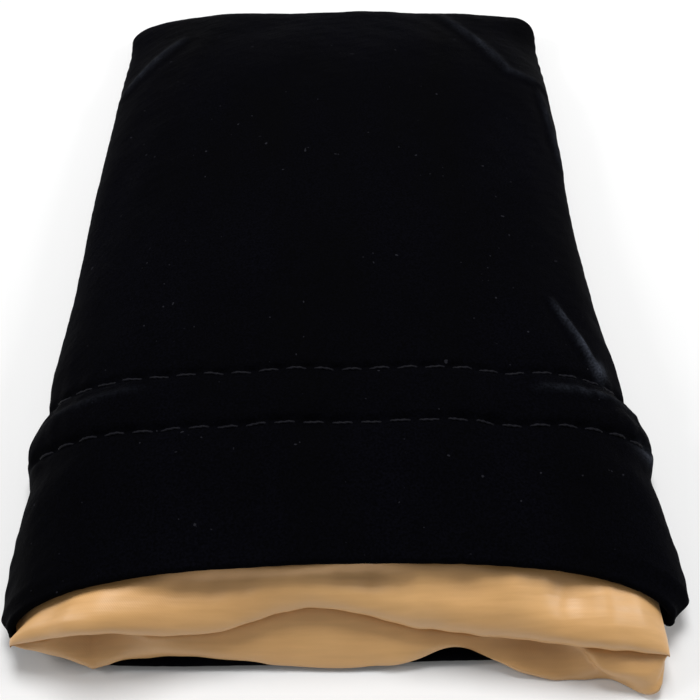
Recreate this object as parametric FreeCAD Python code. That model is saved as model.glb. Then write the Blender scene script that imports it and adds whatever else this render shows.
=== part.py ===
"""Lined velvet drawstring dice bag, lying on its back with its mouth towards -Y.

The bag is a velvet outer bag of two panels with a satin lining bag of two panels inside it.
The two bags are sewn together at the mouth, where the lining rolls out past the velvet.
Two rows of stitching through velvet and lining make an empty channel round the bag, for a
drawstring between velvet and lining. A slit in each side seam is the drawstring's way in.

Frame: +Z up, +Y from the mouth to the closed end, origin at the middle of the bag's underside.
Units are millimetres. Every cross-section is a D lying on its flat side: a straight base, two
round sides and one shallow arc over the top, all tangent to each other.
"""

import FreeCAD, Part
import math
import os

V = FreeCAD.Vector

# Driving dimensions of the velvet bag.
BAG_WIDTH = 102.0
BAG_LENGTH = 160.0          # back panel, mouth edge to closed end
CROWN_HEIGHT = 19.0         # top of the body above the table
MOUTH_HEIGHT = 16.0         # top of the mouth above the table
SEAM_HEIGHT = 5.5           # the side seams and the end seam lie at this height
MOUTH_LEAN = 0.44           # the front edge of the mouth lies back by this much per mm of height
LIP_LENGTH = 2.5            # the lining rolls this far out of the mouth
MOUTH_GAP = 5.2             # clear height between the lining's two lips
MOUTH_GAP_RISE = 1.6        # the middle of that gap above the side seams
MOUTH_GAP_SIDE = 1.0        # the gap ends this much further in from each side than the lining

# Cloth and thread.
VELVET = 1.2                # thickness with its pile
SATIN = 0.5
LAYER_GAP = 0.6             # between velvet and lining
THREAD = 0.4
STITCH_PITCH = 4.5
STITCH_LENGTH = 3.7
THREAD_CLEARANCE = 0.04     # between a stitch and the cloth under it

# The drawstring channel.
HEADING = 29.5              # mouth edge to the first row of stitching
CHANNEL = 10.0              # between the two rows
GROOVE = 0.8                # how deep a row pulls the velvet in
GROOVE_REACH = 1.3          # the pull is over this far from the row
CHANNEL_SWELL = 0.9         # how far the velvet stands out between the rows
CHANNEL_ROOM = 2.2          # from the velvet's inner face to the lining's, between the rows
ROOM_FLAT = CHANNEL * 0.2   # the lining is at its furthest in over this far from the channel's middle
ROOM_FALL = CHANNEL * 0.3   # and comes back out over this much more
SLIT_LENGTH = 6.4           # the opening in each side seam
SLIT_HEIGHT = 2.4
SLIT_DEPTH = 10.0           # how far in from each side the slit is cut

# The sides and the closed end.
SIDE_RADIUS = 6.0
MOUTH_SIDE_RADIUS = 7.2     # the mouth is squarer than the body
WAIST = 1.4                 # each side pulls in this far at mid length
UNDER_CUT = 0.3             # the sections reach this far below the table, and are cut off flat there
TOP_CLOSING = 52.0          # the top slopes down to the end seam over this length
BASE_CLOSING = 16.0         # the underside lifts to the end seam over this length
END_THICKNESS = 4.4         # of the velvet at the end seam, both panels together
END_WALL = 3.0              # the velvet's turned-in seam at the closed end
END_GAP = 2.0               # between that and the lining's end
LINING_END_WALL = 1.5       # the lining's turned-in seam at its closed end
SIDE_GAP = 1.0              # extra room at each side seam for the turned-in edges
CORNER_RADIUS = 6.0         # of the two corners at the closed end, seen from above

BODY_STEPS = 9              # sections from the channel to the bend into the closed end
END_STEPS = 7               # and from there to the end
END_BEND = 16.0
FRONT_REACH = 12.0          # sections start this far in front of the mouth, and are cut back
MOUTH_SEAM = 3.5            # from the mouth edge to the seam that joins velvet and lining
SEAM_INSET = 0.35           # from a panel's inner face to its seam thread's centre
SEAM_START = 6.0            # from the mouth edge to the first stitch of a side seam
SEAM_STOP = 14.0            # from a side seam's last stitch to the velvet's seam at the closed end
END_SEAM_STOP = 8.0         # from each side to the first stitch of an end seam
LIPS_END = HEADING / 4      # the narrow part between the lips ends this far behind the mouth edge
LIPS_OVERRUN = 1.0          # and starts this much further forward than the other sections
STITCH_PARTS = 24           # a stitch's ends are placed to this share of the pitch
FAR = 400.0
ROUNDEST = 0.46             # the largest side radius, as a share of a section's height
TIGHTEST = 2.0              # the smallest side radius inside the bag

ROWS = (HEADING, HEADING + CHANNEL)
CHANNEL_MIDDLE = HEADING + CHANNEL / 2
LINING = VELVET + LAYER_GAP             # inset of the lining's outer face
INSIDE = LINING + SATIN                 # inset of the lining's inner face
LIP_FRONT = LIP_LENGTH - MOUTH_LEAN * (LINING - UNDER_CUT)   # the back lip, in front of the back panel
MOUTH = (LIP_FRONT - BAG_LENGTH) / 2    # Y of the back panel's mouth edge


def smooth(t):
    """0 before 0, 1 after 1, and a smooth rise between."""
    t = min(1.0, max(0.0, t))
    return t * t * (3 - 2 * t)


def closing(distance, reach):
    """1 along the bag, falling to 0 at the closed end as a quarter of an ellipse."""
    t = (distance - (BAG_LENGTH - reach)) / reach
    return math.sqrt(1 - min(1.0, max(0.0, t)) ** 2)


def outer_profile(distance):
    """Half width, side radius, base and crown of the velvet at this distance from the mouth edge."""
    along = min(1.0, max(0.0, distance / BAG_LENGTH))
    swell = 0.0
    if ROWS[0] - GROOVE_REACH < distance < ROWS[1] + GROOVE_REACH:
        from_middle = (distance - CHANNEL_MIDDLE) / (CHANNEL + 2 * GROOVE_REACH)
        swell = CHANNEL_SWELL * math.cos(math.pi * from_middle)
    for row in ROWS:
        if abs(distance - row) < GROOVE_REACH / 2:
            swell = -GROOVE
    half_end = END_THICKNESS / 2
    height = MOUTH_HEIGHT + (CROWN_HEIGHT - MOUTH_HEIGHT) * smooth(distance / HEADING)
    crown_above = half_end + (height - SEAM_HEIGHT - half_end) * closing(distance, TOP_CLOSING)
    base_below = half_end + (SEAM_HEIGHT + UNDER_CUT - half_end) * closing(distance, BASE_CLOSING)
    corner = CORNER_RADIUS * (1 - closing(distance, CORNER_RADIUS))
    half_width = BAG_WIDTH / 2 - WAIST * math.sin(math.pi * along) + swell - corner
    crown = SEAM_HEIGHT + crown_above + swell
    base = SEAM_HEIGHT - base_below - min(0.0, swell)
    radius = SIDE_RADIUS + (MOUTH_SIDE_RADIUS - SIDE_RADIUS) * (1 - smooth(distance / HEADING))
    return half_width, min(radius, ROUNDEST * (crown - base)), base, crown


def section(distance, half_width, radius, base, crown):
    """The closed D at this distance from the mouth edge, as a wire of a line and three arcs."""
    y = MOUTH + distance
    side_x = half_width - radius
    side_z = base + radius
    height = crown - base
    top_z = base + (side_x**2 + radius**2 - (height - radius) ** 2) / (2 * (2 * radius - height))
    top_radius = crown - top_z
    turn = math.atan2(side_z - top_z, side_x)
    shoulder = V(top_radius * math.cos(turn), y, top_z + top_radius * math.sin(turn))
    half_turn = (turn - math.pi / 2) / 2
    flank = V(side_x + radius * math.cos(half_turn), y, side_z + radius * math.sin(half_turn))

    def mirrored(p):
        return V(-p.x, p.y, p.z)

    foot = V(side_x, y, base)
    edges = [
        Part.LineSegment(mirrored(foot), foot).toShape(),
        Part.Arc(foot, flank, shoulder).toShape(),
        Part.Arc(shoulder, V(0, y, crown), mirrored(shoulder)).toShape(),
        Part.Arc(mirrored(shoulder), mirrored(flank), mirrored(foot)).toShape(),
    ]
    return Part.Wire(edges)


def inset_section(distance, inset):
    """The velvet's section, moved inwards all round."""
    half_width, radius, base, crown = outer_profile(distance)
    base += inset
    crown -= inset
    radius = min(max(radius - inset, TIGHTEST), ROUNDEST * (crown - base))
    return section(distance, half_width - inset, radius, base, crown)


def stations(last):
    """Distances from the mouth edge where the sections are drawn, closer at the rows and the end."""
    marks = [-FRONT_REACH, 0.0, HEADING / 2]
    for row in ROWS:
        marks += [row - GROOVE_REACH, row - GROOVE_REACH / 4, row + GROOVE_REACH / 4, row + GROOVE_REACH]
    marks += [CHANNEL_MIDDLE - ROOM_FLAT, CHANNEL_MIDDLE + ROOM_FLAT]
    start = ROWS[1] + GROOVE_REACH
    bend = last - END_BEND
    marks += [start + (bend - start) * i / BODY_STEPS for i in range(1, BODY_STEPS)]
    marks += [bend + END_BEND * math.sin(i / END_STEPS * math.pi / 2) for i in range(END_STEPS + 1)]
    return sorted(marks)


def loft(wires):
    return Part.makeLoft(wires, True, True)


def behind_mouth(shape, reach):
    """What lies behind the leaning plane of the mouth, moved towards -Y by reach."""
    keep = Part.makeBox(FAR, FAR, FAR, V(-FAR / 2, 0, -FAR / 2))
    keep.rotate(V(0, 0, 0), V(1, 0, 0), -math.degrees(math.atan(MOUTH_LEAN)))
    keep.translate(V(0, MOUTH - reach, 0))
    return shape.common(keep)


def above(shape, z):
    return shape.common(Part.makeBox(FAR, FAR, FAR, V(-FAR / 2, -FAR / 2, z)))


def below(shape, z):
    return shape.common(Part.makeBox(FAR, FAR, FAR, V(-FAR / 2, -FAR / 2, z - FAR)))


def velvet_bag():
    """The outer bag with its channel slits, still in one piece."""
    outside = loft([inset_section(d, 0.0) for d in stations(BAG_LENGTH)])
    cavity = loft([inset_section(d, VELVET) for d in stations(BAG_LENGTH - END_WALL)])
    bag = above(behind_mouth(outside.cut(cavity), 0.0), 0.0)
    slit = Part.makeBox(FAR, SLIT_LENGTH, SLIT_HEIGHT)
    slit.translate(V(-FAR / 2, MOUTH + CHANNEL_MIDDLE - SLIT_LENGTH / 2, SEAM_HEIGHT - SLIT_HEIGHT / 2))
    middle = BAG_WIDTH - 2 * SLIT_DEPTH
    sides = slit.cut(Part.makeBox(middle, FAR, FAR, V(-middle / 2, -FAR / 2, -FAR / 2)))
    return bag.cut(sides)


def lining_section(distance, wall):
    """The lining, which lies further in along the channel: its outer face where wall is 0,
    and otherwise the face that runs inside that one at a distance of wall all round."""
    reach = abs(distance - CHANNEL_MIDDLE)
    room = CHANNEL_ROOM - LAYER_GAP + CHANNEL_SWELL
    inset = LINING + room * (1 - smooth((reach - ROOM_FLAT) / ROOM_FALL))
    half_width, radius, base, crown = outer_profile(distance)
    half_width -= inset + SIDE_GAP
    base += inset
    crown -= inset
    radius = min(max(radius - inset, TIGHTEST + SATIN), ROUNDEST * (crown - base))
    return section(distance, half_width - wall, radius - wall, base + wall, crown - wall)


def lip_section(distance):
    """The narrow mouth between the lining's two lips."""
    half_width = BAG_WIDTH / 2 - INSIDE - SIDE_GAP - MOUTH_GAP_SIDE
    base = SEAM_HEIGHT + MOUTH_GAP_RISE - MOUTH_GAP / 2
    return section(distance, half_width, ROUNDEST * MOUTH_GAP, base, base + MOUTH_GAP)


def lining_bag():
    """The lining bag with its rolled lips, still in one piece."""
    end = BAG_LENGTH - END_WALL - END_GAP
    outside = loft([lining_section(d, 0.0) for d in stations(end)])
    lips = [lip_section(-FRONT_REACH - LIPS_OVERRUN), lip_section(LIPS_END)]
    inner_stations = [d for d in stations(end - LINING_END_WALL) if d > LIPS_END]
    inner = [lining_section(d, SATIN) for d in inner_stations]
    cavity = loft(lips + inner)
    return behind_mouth(outside.cut(cavity), LIP_LENGTH)


def stitch(a, b):
    """One stitch of thread from a to b."""
    return Part.makeCylinder(THREAD / 2, a.distanceToPoint(b), a, b - a)


def stitches(wire):
    """Stitches of the same pitch along a wire, centred on it."""
    count = int(wire.Length / STITCH_PITCH)
    points = wire.discretize(Number=count * STITCH_PARTS + 1)
    used = round(STITCH_PARTS * STITCH_LENGTH / STITCH_PITCH)
    first = (STITCH_PARTS - used) // 2
    starts = [i * STITCH_PARTS + first for i in range(count)]
    return [stitch(points[start], points[start + used]) for start in starts]


def channel_row(distance):
    """Front and back stitches of one row, lying in its groove."""
    half_width, radius, base, crown = outer_profile(distance)
    out = THREAD / 2 + THREAD_CLEARANCE
    wire = section(distance, half_width + out, radius + out, base - out, crown + out)
    made = stitches(wire)
    front = [s for s in made if s.BoundBox.ZMin > SEAM_HEIGHT]
    back = [s for s in made if s.BoundBox.ZMax < SEAM_HEIGHT]
    return front, back


def side_seam(side, inset, first, last):
    """Stitches along one side seam, with none across the channel's slit."""
    made = []
    stretches = ((first, ROWS[0] - GROOVE_REACH), (ROWS[1] + GROOVE_REACH, last))
    for low, high in stretches:
        count = int((high - low) / STITCH_PITCH)
        for i in range(count):
            ends = []
            for d in (low + i * STITCH_PITCH, low + i * STITCH_PITCH + STITCH_LENGTH):
                half_width = outer_profile(d)[0]
                ends.append(V(side * (half_width - inset), MOUTH + d, SEAM_HEIGHT))
            made.append(stitch(*ends))
    return made


def end_seam(distance, half_width):
    """Stitches across the closed end."""
    y = MOUTH + distance
    line = Part.LineSegment(V(-half_width, y, SEAM_HEIGHT), V(half_width, y, SEAM_HEIGHT)).toShape()
    return stitches(Part.Wire([line]))


def mouth_seam():
    """Front and back stitches that join velvet and lining just behind the leaning mouth edge."""
    inset = (LINING + VELVET) / 2
    front_at = MOUTH_SEAM + MOUTH_LEAN * MOUTH_HEIGHT
    front = [s for s in stitches(inset_section(front_at, inset)) if s.BoundBox.ZMin > SEAM_HEIGHT]
    back = [s for s in stitches(inset_section(MOUTH_SEAM, inset)) if s.BoundBox.ZMax < SEAM_HEIGHT]
    return front, back


def build():
    velvet = velvet_bag()
    lining = lining_bag()
    nodes = {
        "outer_front_panel": [above(velvet, SEAM_HEIGHT)],
        "outer_back_panel": [below(velvet, SEAM_HEIGHT)],
        "lining_front_panel": [above(lining, SEAM_HEIGHT)],
        "lining_back_panel": [below(lining, SEAM_HEIGHT)],
    }
    for name, distance in (("mouth_side", ROWS[0]), ("body_side", ROWS[1])):
        front, back = channel_row(distance)
        nodes[f"channel_stitches_{name}_front"] = front
        nodes[f"channel_stitches_{name}_back"] = back
    velvet_end = BAG_LENGTH - END_WALL
    last = velvet_end - SEAM_STOP
    inside_velvet = VELVET + SEAM_INSET
    outside_lining = LINING + SIDE_GAP - SEAM_INSET
    for name, side in (("left", -1), ("right", 1)):
        nodes[f"outer_seam_stitches_{name}"] = side_seam(side, inside_velvet, SEAM_START, last)
        nodes[f"lining_seam_stitches_{name}"] = side_seam(side, outside_lining, SEAM_START, last)
    half_end_seam = BAG_WIDTH / 2 - END_SEAM_STOP
    nodes["outer_seam_stitches_end"] = end_seam(velvet_end - SEAM_INSET, half_end_seam)
    nodes["lining_seam_stitches_end"] = end_seam(velvet_end - END_GAP + SEAM_INSET, half_end_seam)
    front, back = mouth_seam()
    nodes["mouth_seam_stitches_front"] = front
    nodes["mouth_seam_stitches_back"] = back
    return nodes


def main():
    os.makedirs("parts", exist_ok=True)
    for name, solids in build().items():
        shape = solids[0] if len(solids) == 1 else Part.makeCompound(solids)
        shape.exportStep(f"parts/{name}.step")
        box = shape.BoundBox
        print(f"{name}: {len(shape.Solids)} solids, valid {shape.isValid()}, volume {shape.Volume:.1f}")
        print(f"    x {box.XMin:.1f}..{box.XMax:.1f}  y {box.YMin:.1f}..{box.YMax:.1f}", end="")
        print(f"  z {box.ZMin:.2f}..{box.ZMax:.2f}")


main()
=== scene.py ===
"""Looks of the lined velvet dice bag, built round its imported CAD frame.

The frame is the CAD's: +Z up, and +Y from the mouth to the closed end. Lengths here are in
millimetres, and turn into metres where a mesh is made. A cloth panel is a grid of points: rows run
along the bag from the mouth, and columns run across it from left to right.
"""

import math

import bpy
import numpy as np
from mathutils import Euler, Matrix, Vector


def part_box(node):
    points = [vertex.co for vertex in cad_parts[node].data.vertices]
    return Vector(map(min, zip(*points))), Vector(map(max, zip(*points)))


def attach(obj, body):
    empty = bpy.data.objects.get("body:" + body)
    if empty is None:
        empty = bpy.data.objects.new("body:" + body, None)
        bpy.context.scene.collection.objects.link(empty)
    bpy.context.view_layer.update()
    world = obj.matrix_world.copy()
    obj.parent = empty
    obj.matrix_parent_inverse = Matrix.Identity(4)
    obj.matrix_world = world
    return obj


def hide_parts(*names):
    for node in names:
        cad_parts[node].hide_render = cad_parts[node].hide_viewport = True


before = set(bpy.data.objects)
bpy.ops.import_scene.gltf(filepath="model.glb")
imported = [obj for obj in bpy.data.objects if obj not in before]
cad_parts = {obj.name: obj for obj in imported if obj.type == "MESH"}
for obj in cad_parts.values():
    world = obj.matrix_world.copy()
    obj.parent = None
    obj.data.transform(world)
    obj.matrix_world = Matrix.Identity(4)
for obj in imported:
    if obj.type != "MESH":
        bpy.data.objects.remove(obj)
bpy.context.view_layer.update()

MM = 0.001
ACROSS, ALONG, UP = np.eye(3)

# The bag's size, from the CAD panels.
FRONT_LOW, FRONT_HIGH = (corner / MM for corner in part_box("outer_front_panel"))
BACK_LOW, BACK_HIGH = (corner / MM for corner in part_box("outer_back_panel"))
HALF_WIDTH = BACK_HIGH.x
END_Y = BACK_HIGH.y
MOUTH_Y = BACK_LOW.y
MOUTH_LEAN = (FRONT_LOW.y - BACK_LOW.y) / FRONT_LOW.z
CROWN = FRONT_HIGH.z
LENGTH = END_Y - MOUTH_Y
ROW_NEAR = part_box("channel_stitches_mouth_side_back")[0].y / MM + 0.2
ROW_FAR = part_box("channel_stitches_body_side_back")[0].y / MM + 0.2

# The flat cut of one panel, inside its seams.
FLAT_WIDTH = 2 * HALF_WIDTH + 5.0
FLAT_LENGTH = LENGTH + 2.5
HEM_DEPTH = 5.0
ALLOWANCE = 3.2
# The columns of a seam allowance: how far in each lies, and how far from the seam.
TUCK = ((0.5, 0.12), (1.6, 0.2), (ALLOWANCE, 0.25))

# The velvet's edge round the mouth.
MOUTH_SEAM_Z = 4.2
MOUTH_TOP_Z = 16.4
MOUTH_TOP_POWER = 2.7
BASE_POWER = 7.0
BASE_MOUTH_POWER = 3.4
BASE_REACH = 1.5
REST_Z = 0.5
BODY_SEAM_Z = 5.0
END_SHIFT = 0.4
CORNER_CUT = 1.7
CORNER_REACH = 9.0
HEM_RADIUS = 0.65
HEM_STEPS = 8
FLOOR_GAP = 0.12

# Stitches.
PITCH = 4.5
DASH = 3.5
CHANNEL_THREAD = 0.27
SEAM_THREAD = 0.2
THREAD_SIDES = 12
THREAD_TWIST = 3.0
DASH_POINTS = 15
SEAM_DEPTH = 0.9
SEAM_SINK = 0.3
SEAM_START = 8.0
CHANNEL_LIFT = 0.08
CHANNEL_SINK = 0.35
CHANNEL_MARGIN = 5
MOUTH_LIFT = 0.12
MOUTH_MARGIN = 4
LINING_DEPTH = 0.15
LINING_SINK = 0.2
LINING_START_ROW = 16
SLIT_MIDDLE = (ROW_NEAR + ROW_FAR) / 2
SLIT_HALF = 3.4
SLIT_GAPE = 1.0

# The satin.
SATIN_LEFT = -48.6
SATIN_RIGHT = 46.9
SATIN_SEAM_Z = 4.4
SATIN_HEM_Y = -77.0
LINING_GAP = 1.7
LINING_INSET = 1.9
INSIDE_FROM = 22.0
LIP_GAP = 1.8
BEAK_X = -37.0
FRONT_ROLL_POWER = 3.2
BACK_ROLL_POWER = 5.0
HEM_NARROWING = 0.955
UNDER_HEM = 2 * HEM_RADIUS + 0.35
ROLL_STEP = 0.4
FAR_STEP = 6

# Grids.
SIM_COLUMNS = 54
SIM_ROWS = 80
FINE_COLUMNS = 324
FINE_ROWS = 480
SATIN_COLUMNS = 240
LINING_ROWS = 110

# The cloth simulation runs at ten times the size.
SIM_SCALE = 10.0 * MM
SIM_FRAMES = 36
SIM_PRESSURE = 0.45
SIM_WEIGHT = 0.18
SIM_GAP = 0.006
RELAX_PASSES = 14

# The camera above the mouth.
CAMERA_PLACE = (-0.3 * MM, -129.9 * MM, 135.4 * MM)
CAMERA_TILT = 38.7
CAMERA_TURN = -1.24
CAMERA_LENS = 47.47


def smooth(t):
    """0 before 0, 1 after 1, and a smooth rise between."""
    t = np.clip(t, 0.0, 1.0)
    return t * t * (3 - 2 * t)


def bump(t, centre, width):
    """A smooth hill of height 1."""
    return np.exp(-(((t - centre) / width) ** 2))


def between(a, b, slope_a, slope_b, span, t):
    """A smooth curve from a to b, with the given slope at each end, at the part t of the span."""
    bend = slope_a * span * t * (1 - t) ** 2 - slope_b * span * t * t * (1 - t)
    return a + (b - a) * t * t * (3 - 2 * t) + bend


def through(x, *knots):
    """A smooth line through the knots (x, value), flat beyond the two ends."""
    places, values = (np.array(column, float) for column in zip(*knots))
    slopes = np.gradient(values, places)
    slopes[0] = slopes[-1] = 0.0
    i = np.clip(np.searchsorted(places, x) - 1, 0, len(places) - 2)
    span = places[i + 1] - places[i]
    t = np.clip((x - places[i]) / span, 0, 1)
    return between(values[i], values[i + 1], slopes[i], slopes[i + 1], span, t)


def ripples(seed, points, wavelength, octaves=3):
    """Soft noise of about -1 to 1 over points, an array whose last axis is the coordinates."""
    random = np.random.default_rng(seed)
    total = np.zeros(points.shape[:-1])
    strength = 1.0
    for octave in range(octaves):
        for _ in range(5):
            direction = random.normal(size=points.shape[-1])
            direction *= 2 * math.pi / (wavelength / 2**octave * np.linalg.norm(direction))
            total += strength * np.sin(points @ direction + random.uniform(0, 2 * math.pi)) / 5
        strength *= 0.55
    return total * 1.3


def line_distance(x, y, points):
    """Distance from a path, which side of it, and how far along it, from 0 to 1."""
    best = np.full(x.shape, 1e9)
    side = np.zeros(x.shape)
    part = np.zeros(x.shape)
    spans = [math.dist(a, b) for a, b in zip(points, points[1:])]
    done = 0.0
    for (ax, ay), (bx, by), span in zip(points, points[1:], spans):
        ux, uy = (bx - ax) / span, (by - ay) / span
        along = np.clip((x - ax) * ux + (y - ay) * uy, 0, span)
        gap = np.hypot(x - ax - along * ux, y - ay - along * uy)
        nearer = gap < best
        best = np.where(nearer, gap, best)
        side = np.where(nearer, np.sign((x - ax) * uy - (y - ay) * ux), side)
        part = np.where(nearer, (done + along) / sum(spans), part)
        done += span
    return best, side, part


def crease(x, y, points, height, width, hollow=0.6):
    """A ridge along a path, with a hollow on its right-hand side, fading at both ends."""
    gap, side, part = line_distance(x, y, points)
    ends = np.sqrt(np.clip(4 * part * (1 - part), 0, 1))
    signed = gap * side
    return height * ends * (bump(gap, 0, width) - hollow * bump(signed, 2.2 * width, 1.6 * width))


# Grids of points.


def across(count):
    return np.linspace(-1.0, 1.0, count + 1)


def arch(s, half_width, seam_z, peak_z, power):
    """X and Z of evenly spaced points s, -1 to 1, along an arch from one side seam to the other."""
    angle = np.linspace(math.pi, 0.0, 721)
    x = half_width * np.cos(angle)
    z = seam_z + (peak_z - seam_z) * np.sqrt(np.clip(1 - np.abs(np.cos(angle)) ** power, 0, 1))
    run = np.concatenate([[0], np.cumsum(np.hypot(np.diff(x), np.diff(z)))])
    at = (s + 1) / 2 * run[-1]
    return np.interp(at, run, x), np.interp(at, run, z)


def mouth_edge(s, front):
    """The velvet's edge round the mouth, on the front or the back panel."""
    peak, power = (MOUTH_TOP_Z, MOUTH_TOP_POWER) if front else (REST_Z, BASE_MOUTH_POWER)
    x, z = arch(s, HALF_WIDTH, MOUTH_SEAM_Z, peak, power)
    reach = 0
    if not front:
        reach = BASE_REACH * smooth((MOUTH_SEAM_Z - z) / (MOUTH_SEAM_Z - REST_Z))
        reach = reach - 1.7 * bump(x, -46, 5) - 2.2 * bump(x, 47, 5)
    return np.stack([x, MOUTH_Y + MOUTH_LEAN * z - reach, z], axis=-1)


def puffed_panel(front):
    """A panel's start shape for the simulation: an even pillow whose first row is the mouth edge."""
    s = across(SIM_COLUMNS)
    rows = np.linspace(0.0, 1.0, SIM_ROWS + 1)
    grid = np.zeros((SIM_ROWS + 1, SIM_COLUMNS + 1, 3))
    edge = mouth_edge(s, front)
    power = MOUTH_TOP_POWER if front else BASE_POWER
    for j, t in enumerate(rows):
        open_part = smooth(t / 0.2)
        seam = MOUTH_SEAM_Z + (BODY_SEAM_Z - MOUTH_SEAM_Z) * open_part
        closing = math.sqrt(max(0.0, 1 - max(0.0, (t - 0.7) / 0.3) ** 2))
        peak = (MOUTH_TOP_Z + (CROWN - MOUTH_TOP_Z) * open_part) if front else REST_Z
        x, z = arch(s, HALF_WIDTH, seam, seam + (peak - seam) * closing, power)
        y = edge[:, 1] + (END_Y - edge[:, 1]) * t
        grid[j] = np.stack([x, y, z], axis=-1)
    return grid


def normals(grid):
    """Unit normals of a grid, up on a panel that lies flat."""
    n = np.cross(np.gradient(grid, axis=1), np.gradient(grid, axis=0))
    return n / np.maximum(np.linalg.norm(n, axis=-1, keepdims=True), 1e-12)


def curve_rows(controls, places):
    """Rows at the given places, 0 to 1 by mean chord, on smooth curves through the control rows."""
    chords = np.linalg.norm(np.diff(controls, axis=0), axis=-1).mean(axis=1)
    knots = np.concatenate([[0], np.cumsum(chords)])
    knots = knots / knots[-1]
    slopes = np.gradient(controls, knots, axis=0)
    i = np.clip(np.searchsorted(knots, places, side="right") - 1, 0, len(knots) - 2)
    span = (knots[i + 1] - knots[i])[:, None, None]
    t = (places[:, None, None] - knots[i][:, None, None]) / span
    return between(controls[i], controls[i + 1], slopes[i], slopes[i + 1], span, t)


def finer(grid, rows, columns):
    """The same grid with more points, on smooth curves through the old ones."""

    def along_first(g, count):
        at = np.linspace(0, len(g) - 1, count + 1)
        i = np.minimum(at.astype(int), len(g) - 2)
        t = (at - i).reshape(-1, *[1] * (g.ndim - 1))
        padded = np.concatenate([[2 * g[0] - g[1]], g, [2 * g[-1] - g[-2]]])
        a, b, c, d = (padded[i + k] for k in range(4))
        return b + 0.5 * t * (c - a + t * (2 * a - 5 * b + 4 * c - d + t * (3 * (b - c) + d - a)))

    g = along_first(grid, rows)
    return along_first(g.swapaxes(0, 1), columns).swapaxes(0, 1)


# The cloth simulation.


def pillow_topology():
    """Vertex numbers of the front and back grids, which share the side seams and the end seam."""
    shape = (SIM_ROWS + 1, SIM_COLUMNS + 1)
    front = np.arange(shape[0] * shape[1]).reshape(shape)
    back = front.copy()
    inner = SIM_ROWS * (SIM_COLUMNS - 1)
    back[:-1, 1:-1] = front.size + np.arange(inner).reshape(SIM_ROWS, SIM_COLUMNS - 1)
    return front, back


def quads(numbers, flip=False):
    a, b, c, d = numbers[:-1, :-1], numbers[:-1, 1:], numbers[1:, 1:], numbers[1:, :-1]
    order = (a, d, c, b) if flip else (a, b, c, d)
    return np.stack([n.ravel() for n in order], axis=-1)


def simulated(front_start, back_start):
    """The two panels, sewn together at their sides and end, after they fill and settle."""
    front_ids, back_ids = pillow_topology()
    count = back_ids.max() + 1
    start = np.zeros((count, 3))
    start[back_ids] = back_start
    start[front_ids] = front_start
    flat = np.zeros((count, 3))
    x, y = np.meshgrid(across(SIM_COLUMNS) * FLAT_WIDTH / 2, np.linspace(0, FLAT_LENGTH, SIM_ROWS + 1))
    flat[back_ids] = np.stack([x, y, np.zeros_like(x)], axis=-1)
    flat[front_ids] = np.stack([x, y, np.zeros_like(x)], axis=-1)

    mesh = bpy.data.meshes.new("sim_shell")
    faces = np.concatenate([quads(front_ids), quads(back_ids, flip=True)])
    mesh.from_pydata((start * SIM_SCALE).tolist(), [], faces.tolist())
    shell = bpy.data.objects.new("sim_shell", mesh)
    bpy.context.scene.collection.objects.link(shell)
    shell.shape_key_add(name="Basis")
    key = shell.shape_key_add(name="flat")
    key.data.foreach_set("co", (flat * SIM_SCALE).ravel())
    group = shell.vertex_groups.new(name="held")
    held = np.unique(np.concatenate([front_ids[0], back_ids[0]]))
    group.add(held.tolist(), 1.0, "REPLACE")

    bpy.ops.mesh.primitive_plane_add(size=8.0, location=(0, 0, 0))
    table = bpy.context.object
    table.modifiers.new("hit", "COLLISION")
    table.collision.thickness_outer = SIM_GAP
    table.collision.cloth_friction = 12.0

    cloth = shell.modifiers.new("cloth", "CLOTH")
    settings = cloth.settings
    settings.quality = 7
    settings.mass = 0.12
    settings.tension_stiffness = 22.0
    settings.compression_stiffness = 22.0
    settings.shear_stiffness = 9.0
    settings.bending_stiffness = 1.4
    settings.air_damping = 3.0
    settings.vertex_group_mass = "held"
    settings.rest_shape_key = key
    settings.use_pressure = True
    settings.uniform_pressure_force = SIM_PRESSURE
    settings.effector_weights.gravity = SIM_WEIGHT
    cloth.collision_settings.distance_min = SIM_GAP
    cloth.collision_settings.use_self_collision = False
    scene = bpy.context.scene
    for number in range(1, SIM_FRAMES + 1):
        scene.frame_set(number)
    done = shell.evaluated_get(bpy.context.evaluated_depsgraph_get())
    points = np.zeros(count * 3)
    done.data.vertices.foreach_get("co", points)
    points = points.reshape(-1, 3) / SIM_SCALE
    scene.frame_set(1)
    for extra in (shell, table):
        bpy.data.objects.remove(extra)
    return points[front_ids], points[back_ids]


# The velvet's shape.


def relaxed(grid):
    """The simulated panel with the small crumples beside the mouth's two corners smoothed away."""
    s = np.abs(across(SIM_COLUMNS))[None, :, None]
    t = np.linspace(0, 1, SIM_ROWS + 1)[:, None, None]
    weight = smooth((s - 0.6) / 0.25) * smooth((0.3 - t) / 0.1) * 0.9 + 0.12
    for _ in range(RELAX_PASSES):
        mean = grid.copy()
        mean[1:-1, 1:-1] = (grid[:-2, 1:-1] + grid[2:, 1:-1] + grid[1:-1, :-2] + grid[1:-1, 2:]) / 4
        mean[1:-1, 0] = (grid[:-2, 0] + grid[2:, 0]) / 2
        mean[1:-1, -1] = (grid[:-2, -1] + grid[2:, -1]) / 2
        grid = grid + (mean - grid) * weight
    return grid


def side_lines(y):
    """X of the left and right outlines along the bag."""
    left = 0.8 * smooth((y + 48) / 12) - HALF_WIDTH - 1.1 * bump(y, -48.5, 3.6) + 0.5 * bump(y, -55.5, 3)
    left = left - 0.6 * bump(y, -66, 9) + 1.4 * smooth((-74.6 - y) / 2.6)
    right = HALF_WIDTH - 0.6 * smooth((y + 46) / 8) + 1.6 * bump(y, -70, 12) + 1.7 * bump(y, -49.3, 3.6)
    right = right - 0.6 * bump(y, -56, 3) - 2.6 * bump(y, -3, 36) - 2.6 * smooth((-73.8 - y) / 3.4)
    return left, right


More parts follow.
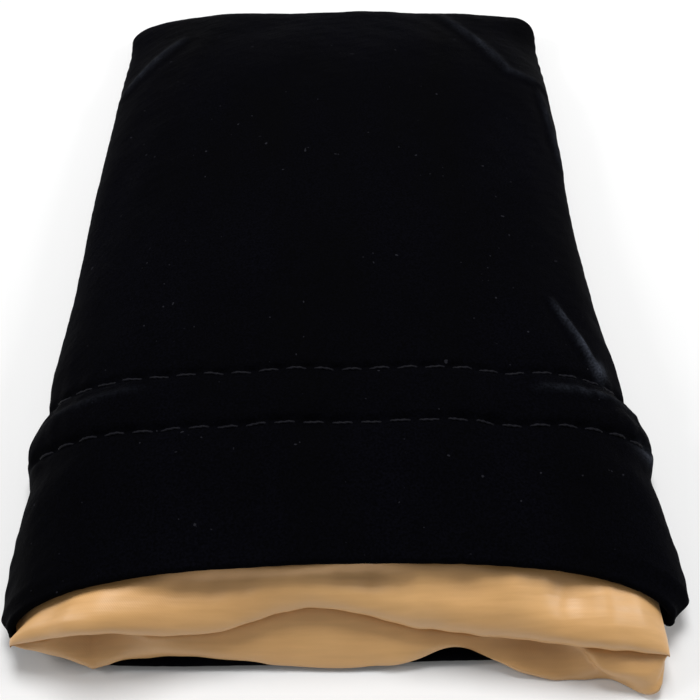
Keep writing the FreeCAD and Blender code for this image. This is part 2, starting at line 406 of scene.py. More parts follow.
def to_outline(grid):
    """The panel with each row drawn to its outline, and its seams at their own height."""
    t = np.linspace(0, 1, grid.shape[0])[:, None]
    s = across(grid.shape[1] - 1)[None, :]
    left, right = side_lines(grid[:, 0, 1])
    old_left, old_right = grid[:, 0, 0], grid[:, -1, 0]
    at = (grid[..., 0] - old_left[:, None]) / (old_right - old_left)[:, None]
    keep = smooth((t - 0.91) / 0.07)
    out = grid.copy()
    out[..., 0] = (left[:, None] + at * (right - left)[:, None]) * (1 - keep) + grid[..., 0] * keep
    seam = through(t, (0, MOUTH_SEAM_Z), (0.15, BODY_SEAM_Z), (1, BODY_SEAM_Z))
    out[..., 2] += (seam - grid[:, :1, 2]) * np.abs(s) ** 8 * (1 - smooth((t - 0.8) / 0.2))
    end = through(grid[..., 0], (-50, 0.5), (-38, 1.6), (0, 2), (34, 2), (48, 2.6))
    out[..., 2] += end * smooth((t - 0.86) / 0.14) ** 1.5
    out[..., 1] += END_SHIFT * t
    from_corner = (1 - np.abs(s)) * HALF_WIDTH + (1 - t) * LENGTH
    rounding = CORNER_CUT * smooth(1 - from_corner / CORNER_REACH)
    out[..., 0] -= np.sign(s) * rounding
    out[..., 1] -= rounding
    return out


def row_groove(u, y, row, strength):
    """One line of stitching: a groove, deeper under each stitch, with short gathers to both sides."""
    wave = np.cos(2 * math.pi * u / PITCH)
    groove = -0.7 * (0.8 + 0.2 * wave) * bump(y, row, 0.85)
    gathers = 0.12 * wave * np.exp(-np.abs(y - row) / 2.2) * smooth(np.abs(y - row) / 0.8)
    return strength * (groove + gathers)


# Soft creases in the front panel: path, height, width, and how far the pile on it is rubbed and lightened,
# partly wear and partly a painted sheen highlight.
FRONT_CREASES = (
    ([(-49, 45), (-42, 54), (-34, 64)], 0.5, 1.4, 0.4),
    ([(25, 74), (34, 58), (39, 48), (49, 48)], 0.45, 1.4, 0.3),
    ([(46, 46), (47, 32), (47, 18)], 0.4, 0.9, 0.3),
    ([(37, -22), (41, -32), (44, -40)], 0.6, 0.7, 0.9),
    ([(30, -43), (50, -43)], 0.4, 0.9, 0.25),
    ([(-30, -42), (-49, -44)], 0.3, 0.9, 0.12),
)


def velvet_relief(grid, front):
    """How far each point of the panel stands out from the simulated surface, and how far its pile is
    lightened: rubbed pile and a painted sheen highlight.
    """
    rows, columns = grid.shape[:2]
    u = np.linspace(-FLAT_WIDTH / 2, FLAT_WIDTH / 2, columns)[None, :]
    v = np.linspace(0, FLAT_LENGTH, rows)[:, None]
    x, y = grid[..., 0], grid[..., 1]
    cloth = np.stack(np.broadcast_arrays(u, v), axis=-1)
    seed = 20 if front else 30
    relief = 0.32 * ripples(seed, cloth * (1, 0.7), 38) + 0.05 * ripples(seed + 1, cloth, 7)
    relief = relief + bump(y, SLIT_MIDDLE, 9) * 0.22 * ripples(seed + 2, cloth * (1, 0.45), 11)
    relief = relief + row_groove(u, y, ROW_NEAR, 1) + row_groove(u, y, ROW_FAR, 1)
    swell = np.sin(math.pi * np.clip((y - ROW_NEAR) / (ROW_FAR - ROW_NEAR), 0, 1)) ** 0.8
    relief = relief + 0.5 * swell + 0.4 * bump(y, ROW_NEAR - 6, 4.5) + 0.3 * bump(y, ROW_FAR + 7, 6)
    rubbed_and_sheen = np.zeros(x.shape)
    if front:
        for path, height, width, rub_and_sheen in FRONT_CREASES:
            relief = relief + crease(x, y, path, height, width)
            gap, _, part = line_distance(x, y, path)
            rubbed_and_sheen += rub_and_sheen * bump(gap, 0, 0.8 * width) * np.clip(4 * part * (1 - part), 0, 1)
        relief = relief + 0.6 * bump(np.hypot(x - 43, y + 37), 0, 2.4)
        relief = relief - 0.9 * bump(np.hypot(x - 46.5, (y - 62) * 0.6), 0, 6)
        relief = relief - 0.6 * bump(np.hypot(x + 46, (y - 62) * 0.6), 0, 5)
        # Painted sheen highlights: a bright streak at the low end of the right crease, and the lit rim of
        # the right channel end.
        rubbed_and_sheen += 1.3 * bump(np.hypot(x - 43.3, (y + 36.6) * 0.7), 0, 1.1)
        rubbed_and_sheen += 0.9 * bump(np.hypot((x - 50.6) * 0.5, y + 50.5), 0, 1.3)
    rubbed_and_sheen = rubbed_and_sheen * (0.65 + 0.35 * ripples(seed + 3, cloth * (1, 0.4), 3, 2))
    return relief, np.clip(rubbed_and_sheen, 0, 2)


def velvet_panel(simulated_grid, front):
    """One velvet panel: the outside, then its seam allowances; its mouth hem is added later."""
    grid = to_outline(finer(relaxed(simulated_grid), FINE_ROWS, FINE_COLUMNS))
    rows = grid.shape[0]
    outward = normals(grid) * (1 if front else -1)
    s = across(FINE_COLUMNS)[None, :]
    v = np.linspace(0, FLAT_LENGTH, rows)[:, None]
    from_side = (1 - np.abs(s)) * FLAT_WIDTH / 2
    from_end = FLAT_LENGTH - v
    free = smooth(from_side / 2.0) * smooth(from_end / 2.0)
    relief, rubbed_and_sheen = velvet_relief(grid, front)
    lifted = grid + outward * (relief * free)[..., None]
    pucker = 0.5 + 0.07 * np.cos(2 * math.pi * v / PITCH)
    lifted[..., 0] -= np.sign(s) * pucker * bump(from_side, 0, 1.1)
    lifted[..., 1] -= 0.5 * bump(from_end, 0, 1.1)
    along = (grid[:, :1, 1] - SLIT_MIDDLE) / SLIT_HALF
    opening = np.sqrt(np.clip(1 - along**2, 0, 1)) * bump(from_side, 0, 2.2)
    lifted[..., 2] += (SLIT_GAPE if front else -SLIT_GAPE) * opening
    lifted[..., 2] = np.maximum(lifted[..., 2], FLOOR_GAP)

    turn = 1 if front else -1
    side_columns = []
    for edge, inward in ((0, 1), (-1, -1)):
        line = lifted[:, edge]
        depth = 0.06 + 0.94 * smooth((v[:, 0] - 3) / 4)
        added = [line + depth[:, None] * (inward * deep, 0, turn * gap) for deep, gap in TUCK]
        side_columns.append(np.stack(added, axis=1))
    edged = np.concatenate([side_columns[0][:, ::-1], lifted, side_columns[1]], axis=1)
    return lifted, edged, np.pad(rubbed_and_sheen, ((0, 0), (len(TUCK), len(TUCK))), mode="edge")


def with_hem(grid, front):
    """The panel with its mouth edge rolled to the inside."""
    outward = normals(grid[:4])[0] * (1 if front else -1)
    s = across(grid.shape[1] - 1)[:, None]
    sideways = np.sign(s) * ACROSS
    outward = outward + (sideways - outward) * smooth((np.abs(s) - 0.965) / 0.03)
    forward = grid[0] - grid[2]
    forward = forward / np.linalg.norm(forward, axis=-1, keepdims=True)
    hem = []
    for angle in np.linspace(0, math.pi, HEM_STEPS + 1)[1:]:
        under = outward * HEM_RADIUS * (1 - math.cos(angle))
        hem.append(grid[0] - under + forward * HEM_RADIUS * math.sin(angle))
    for deep in np.linspace(0, HEM_DEPTH, HEM_STEPS + 1)[1:]:
        hem.append(grid[0] - outward * 2 * HEM_RADIUS - forward * deep)
    hem = np.array(hem)
    hem[..., 2] = np.maximum(hem[..., 2], FLOOR_GAP)
    return np.concatenate([hem[::-1], grid])


# The satin's shape.


def to_side_seams(controls, steps):
    """Control rows whose two ends lie on the side seams that the front and back linings share.

    steps says where each row meets the seam, in points of the seam's own path.
    """
    s = across(controls.shape[1] - 1)
    blend = smooth((np.abs(s) - 0.95) / 0.05)[:, None]
    result = controls.copy()
    for side, x in ((s < 0, SATIN_LEFT), (s > 0, SATIN_RIGHT)):
        lip, hem = float(lip_line(x)[0]), SATIN_HEM_Y
        inward = -math.copysign(1, x)
        path = np.array([
            (x, hem + 4.0), (x, hem + 0.6), (x, (hem + lip) / 2), (x + inward * 0.4, lip),
            (x + inward * 0.4, lip + 1.0), (x + inward * 0.4, lip + 4.0), (x, lip + 9.0),
        ])
        for number, step in enumerate(steps):
            px, py = (np.interp(step, range(len(path)), path[:, k]) for k in range(2))
            point = np.array([px, py, SATIN_SEAM_Z])
            moved = controls[number] + (point - controls[number]) * blend
            result[number] = np.where(side[:, None], moved, result[number])
    return result


def lip_line(x):
    """Y and Z of the front lining's lowest edge, where it turns back into the bag."""
    y = through(x, (SATIN_LEFT, -79), (-20, -78.5), (-5, -76), (12, -78.5), (SATIN_RIGHT, -82.5))
    z = through(x, (SATIN_LEFT, 7), (-36, 9), (-20, 7), (-5, 9), (10, 7), (SATIN_RIGHT, 7))
    return y, z


def low_line(x):
    """Y and Z of the back lining's lowest edge: a beak at the left, and a loose flap at the right."""
    y = through(x, (SATIN_LEFT, -79), (BEAK_X, -80.4), (-28, -80.2), (8, -81.4), (16, -80.2), (22, -82),
                (30, -84), (38, -84), (45, -86), (SATIN_RIGHT, -83.5))
    y = y - 0.8 * np.exp(-np.abs(x - BEAK_X) / 2.6)
    z = through(x, (SATIN_LEFT, 4), (BEAK_X, 1.8), (-26, 2.2), (8, 1.8), (16, 3.4), (22, 2), (28, 0.5),
                (SATIN_RIGHT, 0.5))
    return y, z


def spots(x, y, z):
    """A row of points from its three coordinates, any of which may be one number."""
    return np.stack(np.broadcast_arrays(x, y, z), axis=-1)


def satin_start(velvet, height, power):
    """The velvet's mouth edge at the satin's columns, and X and 0 to 1 along the satin's arch."""
    edge = finer(velvet[:3], 2, SATIN_COLUMNS)[0]
    middle, half = (SATIN_LEFT + SATIN_RIGHT) / 2, (SATIN_RIGHT - SATIN_LEFT) / 2
    x, lift = arch(across(SATIN_COLUMNS), half, 0.0, height, power)
    return edge, x + middle, lift / height


def satin_front(velvet, inside):
    """The front lining: out from under the hem, over a soft roll, and back in along the bag."""
    edge, x, lift = satin_start(velvet, MOUTH_TOP_Z - SATIN_SEAM_Z, FRONT_ROLL_POWER)
    lip_y, lip_z = lip_line(x)
    lip_z = SATIN_SEAM_Z + (lip_z - SATIN_SEAM_Z) * np.minimum(1, lift * 1.4)
    edge_z = SATIN_SEAM_Z + (edge[:, 2] - SATIN_SEAM_Z) * 0.98
    hem_x = edge[:, 0] * HEM_NARROWING
    dip = 2.0 * bump(x, -22, 11) + 2.2 * bump(x, 3, 8) + 1.2 * bump(x, 17, 4) + 2.2 * bump(x, 32, 5)
    puff = through(x, (-44, 2), (-36, 3), (-24, 1), (0, 0.8), (24, 2), (38, 3), (44, 2.6))
    start_y, start_z = edge[:, 1] - 0.2, np.maximum(edge_z - UNDER_HEM * lift, SATIN_SEAM_Z)

    def wall(part, out):
        """A row part of the way from the hem to the lip, standing out from the straight line."""
        return spots(
            hem_x + (x - hem_x) * min(1, 1.6 * part),
            start_y + (lip_y - start_y) * part - 0.75 * out * lift,
            start_z + (lip_z - start_z) * part + 0.65 * out * lift,
        )

    tucked_z = np.maximum(edge_z - (UNDER_HEM - 0.8) * lift, SATIN_SEAM_Z)
    controls = [
        spots(hem_x, edge[:, 1] + 4.0, tucked_z),
        spots(hem_x, edge[:, 1] + 1.2, np.maximum(edge_z - (UNDER_HEM + 0.3 * dip) * lift, SATIN_SEAM_Z)),
        wall(0.0, -0.5 * dip),
        wall(0.28, 0.75 * puff - 0.9 * dip),
        wall(0.62, puff - 0.2 * dip),
        wall(0.9, 0.55 * puff),
        spots(x, lip_y, lip_z),
        spots(x, lip_y + 1.0, lip_z - 0.95 * lift),
        spots(x, lip_y + 3.4, lip_z - 0.7 * lift),
        spots(x, lip_y + 9.0, lip_z + 1.4 * lift),
    ]
    controls = to_side_seams(np.array(controls), (0, 0.7, 1, 1.5, 2.2, 2.8, 3, 4, 4.8, 6))
    return satin_rows(controls, inside, x, 40)


def satin_back(velvet, inside):
    """The back lining: over the hem, a lower roll with its folds, and back in along the bag."""
    edge, x, drop = satin_start(velvet, 1.0, BACK_ROLL_POWER)
    front_y, front_z = lip_line(x)
    lip_y = front_y + 0.6
    lip_z = SATIN_SEAM_Z + (front_z - LIP_GAP - SATIN_SEAM_Z) * drop
    low_y, low_z = low_line(x)
    low_z = np.minimum(SATIN_SEAM_Z, SATIN_SEAM_Z + (low_z - SATIN_SEAM_Z) * np.minimum(1, 1.5 * drop))
    beak = np.clip(np.minimum((x - BEAK_X + 6) / 6, (BEAK_X + 9 - x) / 9), 0, 1) ** 1.2
    valley = np.exp(-np.abs(x - BEAK_X) / 1.4)
    pocket = bump(x, 28.5, 5.5)

    def flap(start):
        return smooth((x - start) / 2.4) * smooth((SATIN_RIGHT - x) / 4)

    def wall(part, out, deeper=0.0):
        """A row part of the way from the low edge to the lip, standing out from the straight line."""
        y = low_y + (lip_y - low_y) * part - out * drop
        return spots(x, y, low_z + (lip_z - low_z) * part - deeper)

    hem_x = edge[:, 0] * HEM_NARROWING
    hem_z = np.minimum(SATIN_SEAM_Z, edge[:, 2] + UNDER_HEM)
    controls = [
        spots(hem_x, edge[:, 1] + 5.0, hem_z),
        spots(hem_x, edge[:, 1] + 3.2, hem_z),
        spots(hem_x, edge[:, 1] + 1.9, hem_z),
        spots((x + hem_x) / 2, low_y + 0.1 * drop, low_z),
        wall(0.14, 0.15 - 0.6 * valley),
        wall(0.35, 0.4 - 1.2 * beak - 1.5 * valley - 1.4 * pocket + 0.8 * flap(37)),
        wall(0.58, 0.4 - 2.9 * beak - 1.2 * valley - 3.2 * pocket + 1.9 * flap(35.8), 0.3 * beak),
        wall(0.8, 0.2 - 4.6 * beak - 3.6 * pocket + 2.4 * flap(34.6), 0.6 * beak),
        wall(0.97, -5.4 * beak - 2.8 * pocket + 1.4 * flap(33.4), 0.8 * beak),
        spots(x, lip_y + 3.4 + 3.0 * beak, lip_z - 0.6 * drop - 0.4 * beak),
        spots(x, lip_y + 9.0, lip_z - 1.8 * drop),
    ]
    controls = to_side_seams(np.array(controls), (0, 0.6, 1, 1.6, 2.0, 2.4, 2.7, 2.9, 3.2, 4.8, 6))
    return satin_rows(controls, inside, x, 50)


def satin_rows(controls, inside, x, seed):
    """The rows of a lining: fine ones round the roll, then the ones that line the bag."""
    start = int(round(INSIDE_FROM / LENGTH * (len(inside) - 1)))
    far = inside[start:]
    controls = np.concatenate([controls, far[[0, FAR_STEP]]])
    chords = np.linalg.norm(np.diff(controls, axis=0), axis=-1).mean(axis=1)
    stop = chords[:-1].sum() / chords.sum()
    count = int(chords[:-1].sum() / ROLL_STEP)
    roll = curve_rows(controls, np.linspace(0, stop, count))
    along = np.linspace(0, 1, count)[:, None]
    place = np.stack(np.broadcast_arrays(x[None, :], along * chords[:-1].sum()), axis=-1)
    ends = smooth((x - SATIN_LEFT) / 5) * smooth((SATIN_RIGHT - x) / 5)
    small = 0.16 * ripples(seed, place * (1, 0.45), 9, 2)
    folds = small + 0.22 * ripples(seed + 1, place * (0.8, 0.6), 24, 2)
    shown = smooth(along * 14) * ends[None, :]
    roll = roll + normals(roll) * (folds * shown)[..., None]
    roll[..., 2] = np.maximum(roll[..., 2], FLOOR_GAP)
    return np.concatenate([roll[:-1], far])


def lining_insides(front, back):
    """The two velvet panels drawn in by the lining's gap, without crossing each other."""
    front = finer(front, LINING_ROWS, SATIN_COLUMNS)
    back = finer(back, LINING_ROWS, SATIN_COLUMNS)
    room = np.clip(front[..., 2] - back[..., 2], 0, None)
    step = np.minimum(LINING_GAP, 0.42 * room)
    t = np.linspace(0, 1, LINING_ROWS + 1)[:, None]
    result = []
    for panel, sign, seed in ((front, -1, 70), (back, 1, 80)):
        inner = panel.copy()
        inner[..., 0] *= (HALF_WIDTH - LINING_INSET) / HALF_WIDTH
        inner[..., 1] -= LINING_INSET * smooth((t - 0.9) / 0.1)
        wrinkle = 0.35 * ripples(seed, panel[..., :2] * (1, 0.5), 14) * smooth((room - 2) / 4)
        inner[..., 2] += sign * (step + np.abs(wrinkle))
        result.append(inner)
    return result


# Meshes.


def new_object(name, vertices, faces):
    """A smooth mesh object from an array of points and a list of faces."""
    mesh = bpy.data.meshes.new(name)
    mesh.from_pydata((vertices * MM).tolist(), [], faces)
    mesh.polygons.foreach_set("use_smooth", [True] * len(faces))
    thing = bpy.data.objects.new(name, mesh)
    bpy.context.scene.collection.objects.link(thing)
    return thing


def grid_mesh(name, grid, flip=False):
    """An object with one quad for each cell of the grid, with its place on the cloth as UV."""
    rows, columns = grid.shape[0], grid.shape[1]
    faces = quads(np.arange(rows * columns).reshape(rows, columns), flip)
    thing = new_object(name, grid.reshape(-1, 3), faces.tolist())
    between_rows = np.linalg.norm(np.diff(grid, axis=0), axis=-1).mean(axis=1)
    between_columns = np.linalg.norm(np.diff(grid, axis=1), axis=-1).mean(axis=0)
    u = np.concatenate([[0], np.cumsum(between_columns)]) / FLAT_LENGTH
    v = np.concatenate([[0], np.cumsum(between_rows)]) / FLAT_LENGTH
    u, v = np.meshgrid(u, v)
    flat = np.stack([u, v], axis=-1).reshape(-1, 2)
    layer = thing.data.uv_layers.new(name="cloth")
    layer.data.foreach_set("uv", flat[faces.ravel()].ravel())
    return thing


def thread_mesh(name, paths, radius):
    """Stitches of two-ply twisted thread, one along each path."""
    around = np.linspace(0, 2 * math.pi, THREAD_SIDES + 1)[:-1]
    vertices, faces = [], []
    base = 0
    for path in paths:
        steps = np.gradient(path, axis=0)
        steps /= np.linalg.norm(steps, axis=-1, keepdims=True)
        up = np.cross(steps, (0.3, 0.1, 1.0) if abs(steps[0, 2]) < 0.8 else (1.0, 0.2, 0.1))
        up /= np.linalg.norm(up, axis=-1, keepdims=True)
        over = np.cross(steps, up)
        run = np.concatenate([[0], np.cumsum(np.linalg.norm(np.diff(path, axis=0), axis=-1))])
        place = run / run[-1]
        taper = np.sqrt(np.clip(1 - np.abs(2 * place - 1) ** 6, 0.02, 1))
        twist = 2 * (around[None, :] - run[:, None] * THREAD_TWIST)
        size = radius * taper[:, None] * (0.88 + 0.16 * np.cos(twist))
        ring = up[:, None] * np.cos(around)[:, None] + over[:, None] * np.sin(around)[:, None]
        rings = path[:, None] + ring * size[..., None]
        ids = base + np.arange(len(path) * THREAD_SIDES).reshape(len(path), THREAD_SIDES)
        ids = np.concatenate([ids, ids[:, :1]], axis=1)
        tip = base + len(path) * THREAD_SIDES
        base = tip + 2
        vertices += [rings.reshape(-1, 3), path[:1], path[-1:]]
        faces += quads(ids).tolist()
        first, last = ids[0].tolist(), ids[-1].tolist()
        faces += [[tip, a, b] for a, b in zip(first[:-1], first[1:])]
        faces += [[tip + 1, b, a] for a, b in zip(last[:-1], last[1:])]
    return new_object(name, np.concatenate(vertices), faces)


def resampled(line, start, stop, count):
    """Points on a line between two distances along it."""
    run = np.concatenate([[0], np.cumsum(np.linalg.norm(np.diff(line, axis=0), axis=-1))])
    at = np.linspace(start, stop, count)
    return np.stack([np.interp(at, run, line[:, k]) for k in range(3)], axis=-1)


def line_at(panel, y):
    """The points of a panel where it crosses a plane square to the bag's length."""
    crossings = []
    for column in panel.swapaxes(0, 1):
        row = int(np.argmax(column[:, 1] > y))
        before, after = column[row - 1], column[row]
        crossings.append(before + (after - before) * (y - before[1]) / (after[1] - before[1]))
    return np.array(crossings)


def dashes(line, margin, sink):
    """Paths of the stitches along a line, each end dipping into the cloth by sink."""
    last = np.linalg.norm(np.diff(line, axis=0), axis=-1).sum() - margin
    count = int((last - margin) // PITCH)
    spare = (last - margin - count * PITCH) / 2 + (PITCH - DASH) / 2
    paths = []
    for number in range(count):
        start = margin + spare + number * PITCH
        path = resampled(line, start, start + DASH, DASH_POINTS)
        ends = np.abs(np.linspace(-1, 1, DASH_POINTS)) ** 4
        paths.append(path + sink * ends[:, None])
    return paths


# Camera, floor and light.


def add_camera():
    """A camera above the mouth, looking down along the bag."""
    data = bpy.data.cameras.new("camera")
    data.sensor_width = 36.0
    data.lens = CAMERA_LENS
    data.clip_start = 0.005
    camera = bpy.data.objects.new("camera", data)
    camera.location = CAMERA_PLACE
    camera.rotation_euler = Euler((math.radians(CAMERA_TILT), 0.0, math.radians(CAMERA_TURN)))
    bpy.context.scene.collection.objects.link(camera)
    bpy.context.scene.camera = camera


def add_floor():
    """A plain pale floor."""
    bpy.ops.mesh.primitive_plane_add(size=6.0, location=(0, 0, 0))
    floor = bpy.context.object
    floor.name = "floor"
    material = bpy.data.materials.new("floor_white")
    material.use_nodes = True
    shader = material.node_tree.nodes["Principled BSDF"]
    shader.inputs["Base Color"].default_value = (0.82, 0.82, 0.82, 1)
    shader.inputs["Roughness"].default_value = 0.9
    shader.inputs["Specular IOR Level"].default_value = 0.1
    floor.data.materials.append(material)


def add_area(name, place, target, size, power):
    """A square white lamp at place, aimed at target."""
    data = bpy.data.lights.new(name, "AREA")
    data.size = size
    data.energy = power
    lamp = bpy.data.objects.new(name, data)
    lamp.location = place
    lamp.rotation_euler = (Vector(target) - Vector(place)).to_track_quat("-Z", "Y").to_euler()
    bpy.context.scene.collection.objects.link(lamp)


def add_light():
    """An even room, a soft lamp above and a smaller one low on each side."""
    world = bpy.data.worlds.new("studio")
    world.use_nodes = True
    world.node_tree.nodes["Background"].inputs["Color"].default_value = (1, 1, 1, 1)
    world.node_tree.nodes["Background"].inputs["Strength"].default_value = 0.28
    bpy.context.scene.world = world
    add_area("key", (0.0, 0.22, 0.6), (0, -0.04, 0), size=0.26, power=3.3)
    add_area("left", (-0.42, 0.0, 0.30), (-0.03, -0.07, 0), size=0.12, power=0.6)
    add_area("right", (0.42, 0.0, 0.30), (0.03, -0.07, 0), size=0.12, power=0.6)
    bpy.context.scene.view_settings.view_transform = "Standard"


# Materials.


class Cloth:
    """A material with its Principled shader, and short ways to add nodes to it."""

    def __init__(self, name, roughness, specular, sheen, sheen_roughness, tint):
        self.material = bpy.data.materials.new(name)
        self.material.use_nodes = True
        self.tree = self.material.node_tree
        self.shader = self.tree.nodes["Principled BSDF"]
        settings = {
            "Roughness": roughness,
            "Specular IOR Level": specular,
            "Sheen Weight": sheen,
            "Sheen Roughness": sheen_roughness,
            "Sheen Tint": tint,
        }
        for key, value in settings.items():
            self.shader.inputs[key].default_value = value
        self.coordinates = self.add("ShaderNodeTexCoord")

    def add(self, kind, **inputs):
        node = self.tree.nodes.new(kind)
        for key, value in inputs.items():
            node.inputs[key.replace("_", " ")].default_value = value
        return node

    def join(self, source, target):
        self.tree.links.new(source, target)

    def noise(self, scale, detail, stretch=(1, 1, 1)):
        place = self.add("ShaderNodeMapping", Scale=stretch)
        self.join(self.coordinates.outputs["Object"], place.inputs["Vector"])
        node = self.add("ShaderNodeTexNoise", Scale=scale, Detail=detail)
        self.join(place.outputs["Vector"], node.inputs["Vector"])
        return node.outputs["Fac"]

    def ramp(self, source, stops):
        node = self.tree.nodes.new("ShaderNodeValToRGB")
        elements = node.color_ramp.elements
        while len(elements) < len(stops):
            elements.new(0.5)
        for element, (position, colour) in zip(elements, stops):
            element.position = position
            element.color = (*colour, 1)
        self.join(source, node.inputs["Fac"])
        return node.outputs["Color"]

    def mixed(self, kind, factor, a, b):
        node = self.tree.nodes.new("ShaderNodeMix")
        node.data_type = "RGBA"
        node.blend_type = kind
        if isinstance(factor, float):
            node.inputs[0].default_value = factor
        else:
            self.join(factor, node.inputs[0])
        for source, socket in ((a, node.inputs[6]), (b, node.inputs[7])):
            if isinstance(source, tuple):
                socket.default_value = (*source, 1)
            else:
                self.join(source, socket)
        return node.outputs[2]

    def sums(self, operation, a, b):
        node = self.tree.nodes.new("ShaderNodeMath")
        node.operation = operation
        for source, socket in ((a, node.inputs[0]), (b, node.inputs[1])):
            if isinstance(source, (int, float)):
                socket.default_value = source
            else:
                self.join(source, socket)
        return node.outputs[0]

    def weave(self, count):
        """The over and under of a fine weave, from the cloth's own place."""
        split = self.tree.nodes.new("ShaderNodeSeparateXYZ")
        self.join(self.coordinates.outputs["UV"], split.inputs[0])
        waves = []
        for axis in ("X", "Y"):
            angle = self.sums("MULTIPLY", split.outputs[axis], count * 2 * math.pi)
            waves.append(self.sums("SINE", angle, 0))
        return self.sums("MULTIPLY", waves[0], waves[1])

    def bump(self, height, distance, strength):
        node = self.add("ShaderNodeBump", Strength=strength, Distance=distance)
        self.join(height, node.inputs["Height"])
        if self.shader.inputs["Normal"].is_linked:
            self.join(self.shader.inputs["Normal"].links[0].from_socket, node.inputs["Normal"])
        self.join(node.outputs["Normal"], self.shader.inputs["Normal"])


def velvet_material():
    cloth = Cloth("velvet_black", 0.85, 0.02, 0.012, 0.25, (0.72, 0.8, 1.0, 1))
    pile = cloth.noise(2600, 4.0)
    nap = cloth.noise(60, 5.0, (1, 0.35, 1))
    lint = cloth.noise(900, 1.0)
    base = cloth.ramp(nap, [(0.3, (0.0002, 0.0002, 0.0006)), (0.7, (0.0011, 0.0011, 0.0020))])
    fibres = cloth.ramp(pile, [(0.35, (0.5, 0.5, 0.55)), (0.72, (1.7, 1.7, 1.8))])
    colour = cloth.mixed("MULTIPLY", 1.0, base, fibres)
    specks = cloth.ramp(lint, [(0.77, (0, 0, 0)), (0.80, (1, 1, 1))])
    colour = cloth.mixed("MIX", specks, colour, (0.014, 0.014, 0.018))
    # Pile along the creases lightened to a bluish grey: partly rubbed wear, partly a painted sheen
    # highlight.
    rubbed_and_sheen = cloth.tree.nodes.new("ShaderNodeAttribute")
    rubbed_and_sheen.attribute_name = "rubbed_and_sheen"
    worn_and_sheen = cloth.mixed("MULTIPLY", 1.0, fibres, (0.030, 0.034, 0.042))
    colour = cloth.mixed("MIX", rubbed_and_sheen.outputs["Fac"], colour, worn_and_sheen)
    cloth.join(colour, cloth.shader.inputs["Base Color"])
    cloth.join(cloth.ramp(nap, [(0.3, (0.75,) * 3), (0.7, (0.95,) * 3)]), cloth.shader.inputs["Roughness"])
    cloth.bump(nap, 0.0008, 0.5)
    cloth.bump(pile, 0.00012, 0.7)
    return cloth.material


def satin_material():
    cloth = Cloth("satin_gold", 0.42, 0.8, 0.22, 0.4, (1.0, 0.88, 0.7, 1))
    cloth.shader.inputs["Anisotropic"].default_value = 0.4
    broad = cloth.noise(45, 4.0)
    slubs = cloth.noise(420, 3.0, (0.25, 3.0, 1))
    weave = cloth.weave(560)
    base = cloth.ramp(broad, [(0.3, (0.63, 0.345, 0.125)), (0.7, (0.71, 0.405, 0.155))])
    streaks = cloth.ramp(slubs, [(0.3, (0.94, 0.93, 0.91)), (0.7, (1.03, 1.03, 1.04))])
    colour = cloth.mixed("MULTIPLY", 1.0, base, streaks)
    threads = cloth.ramp(cloth.sums("MULTIPLY_ADD", weave, 0.5), [(0.0, (0.97,) * 3), (0.8, (1.01,) * 3)])
    colour = cloth.mixed("MULTIPLY", 1.0, colour, threads)
    cloth.join(colour, cloth.shader.inputs["Base Color"])
    cloth.join(cloth.ramp(slubs, [(0.3, (0.38,) * 3), (0.7, (0.5,) * 3)]), cloth.shader.inputs["Roughness"])
    cloth.bump(broad, 0.0006, 0.35)
    cloth.bump(slubs, 0.00006, 0.6)
    cloth.bump(weave, 0.00002, 0.25)
    return cloth.material


def thread_material(name, dark, light, roughness):
    cloth = Cloth(name, roughness, 0.1, 0.012, 0.4, (1, 1, 1, 1))
    fibres = cloth.noise(3000, 4.0)
    cloth.join(cloth.ramp(fibres, [(0.35, dark), (0.7, light)]), cloth.shader.inputs["Base Color"])
    rough = cloth.ramp(fibres, [(0.3, (roughness - 0.08,) * 3), (0.7, (roughness + 0.1,) * 3)])
    cloth.join(rough, cloth.shader.inputs["Roughness"])
    cloth.bump(fibres, 0.00005, 0.6)
    return cloth.material


# The whole bag.

add_camera()
add_floor()
add_light()

front_sim, back_sim = simulated(puffed_panel(True), puffed_panel(False))

VELVET = velvet_material()
SATIN = satin_material()
BLACK_THREAD = thread_material("thread_black", (0.0015, 0.0015, 0.003), (0.006, 0.006, 0.010), 0.6)
GOLD_THREAD = thread_material("thread_gold", (0.50, 0.30, 0.12), (0.66, 0.43, 0.20), 0.5)


def finished(piece, material, node):
    """Gives a piece its material and slot, and puts it on the bag in its CAD node's place."""
    piece.data.materials.append(material)
    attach(piece, "root")
    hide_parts(node)


front_velvet, front_edged, front_rubbed_and_sheen = velvet_panel(front_sim, True)
back_velvet, back_edged, back_rubbed_and_sheen = velvet_panel(back_sim, False)
front_inside, back_inside = lining_insides(front_velvet, back_velvet)
front_satin = satin_front(front_velvet, front_inside)
back_satin = satin_back(back_velvet, back_inside)

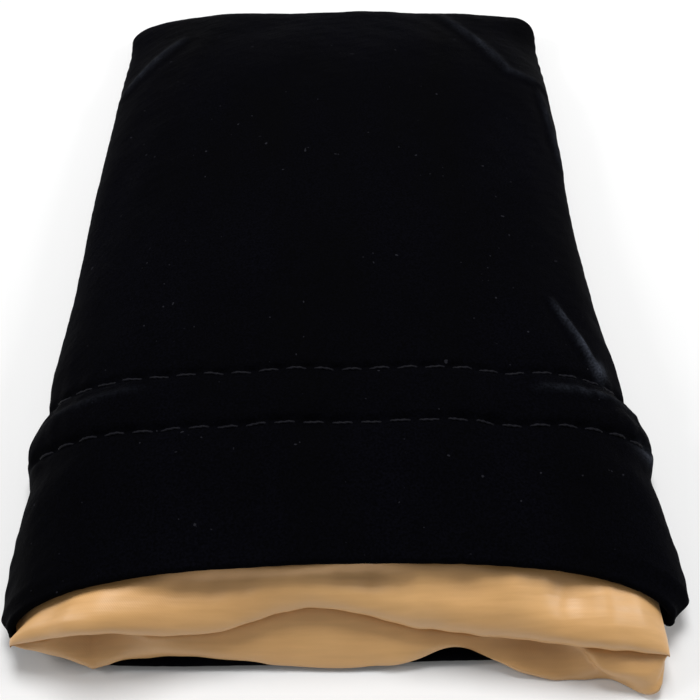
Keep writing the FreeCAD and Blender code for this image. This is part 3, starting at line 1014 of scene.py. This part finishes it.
for label, grid, rubbed_and_sheen in (("front", front_edged, front_rubbed_and_sheen), ("back", back_edged, back_rubbed_and_sheen)):
    hemmed = with_hem(grid, label == "front")
    shown = grid_mesh("velvet_" + label, hemmed, flip=label == "back")
    # The lightened pile, rubbed wear and painted sheen highlight, is stored on the mesh for the material.
    rubbed_and_sheen = np.pad(rubbed_and_sheen, ((len(hemmed) - len(grid), 0), (0, 0)), mode="edge")
    attribute = shown.data.attributes.new("rubbed_and_sheen", "FLOAT", "POINT")
    attribute.data.foreach_set("value", rubbed_and_sheen.ravel().astype(np.float32))
    finished(shown, VELVET, "outer_" + label + "_panel")
for label, grid in (("front", front_satin), ("back", back_satin)):
    shown = grid_mesh("satin_" + label, grid, flip=label == "back")
    finished(shown, SATIN, "lining_" + label + "_panel")

# Thread: each seam's node, line, how its stitches' ends dip, thickness, and material.
seams = []
sides = (("front", front_velvet, front_satin, UP), ("back", back_velvet, back_satin, -UP))
for label, panel, satin, out in sides:
    for place, row in (("mouth_side", ROW_NEAR), ("body_side", ROW_FAR)):
        line = line_at(panel, row)[CHANNEL_MARGIN:-CHANNEL_MARGIN] + CHANNEL_LIFT * out
        node = "channel_stitches_" + place + "_" + label
        seams.append((node, line, -CHANNEL_SINK * out, CHANNEL_THREAD, BLACK_THREAD))
    line = satin[2][MOUTH_MARGIN:-MOUTH_MARGIN] + MOUTH_LIFT * out
    seams.append(("mouth_seam_stitches_" + label, line, -LINING_SINK * out, SEAM_THREAD, BLACK_THREAD))
first_row = int(SEAM_START / FLAT_LENGTH * FINE_ROWS)
for label, edge, inward in (("left", 0, ACROSS), ("right", -1, -ACROSS)):
    line = front_velvet[first_row:, edge]
    closed = np.abs(line[:, 1] - SLIT_MIDDLE) > SLIT_HALF
    line = line + SEAM_DEPTH * inward
    line = np.where(closed[:, None], line, line - (0, 0, SLIT_GAPE * 1.2))
    seams.append(("outer_seam_stitches_" + label, line, SEAM_SINK * inward, SEAM_THREAD, BLACK_THREAD))
    line = front_inside[LINING_START_ROW:, edge] + LINING_DEPTH * inward
    seams.append(("lining_seam_stitches_" + label, line, -LINING_SINK * inward, SEAM_THREAD, GOLD_THREAD))
line = front_velvet[-1] - SEAM_DEPTH * ALONG
seams.append(("outer_seam_stitches_end", line, -SEAM_SINK * ALONG, SEAM_THREAD, BLACK_THREAD))
line = front_inside[-1] - LINING_DEPTH * ALONG
seams.append(("lining_seam_stitches_end", line, LINING_SINK * ALONG, SEAM_THREAD, GOLD_THREAD))
for node, line, sink, radius, material in seams:
    stitches = thread_mesh("thread_" + node, dashes(line, 1.0, sink), radius)
    finished(stitches, material, node)
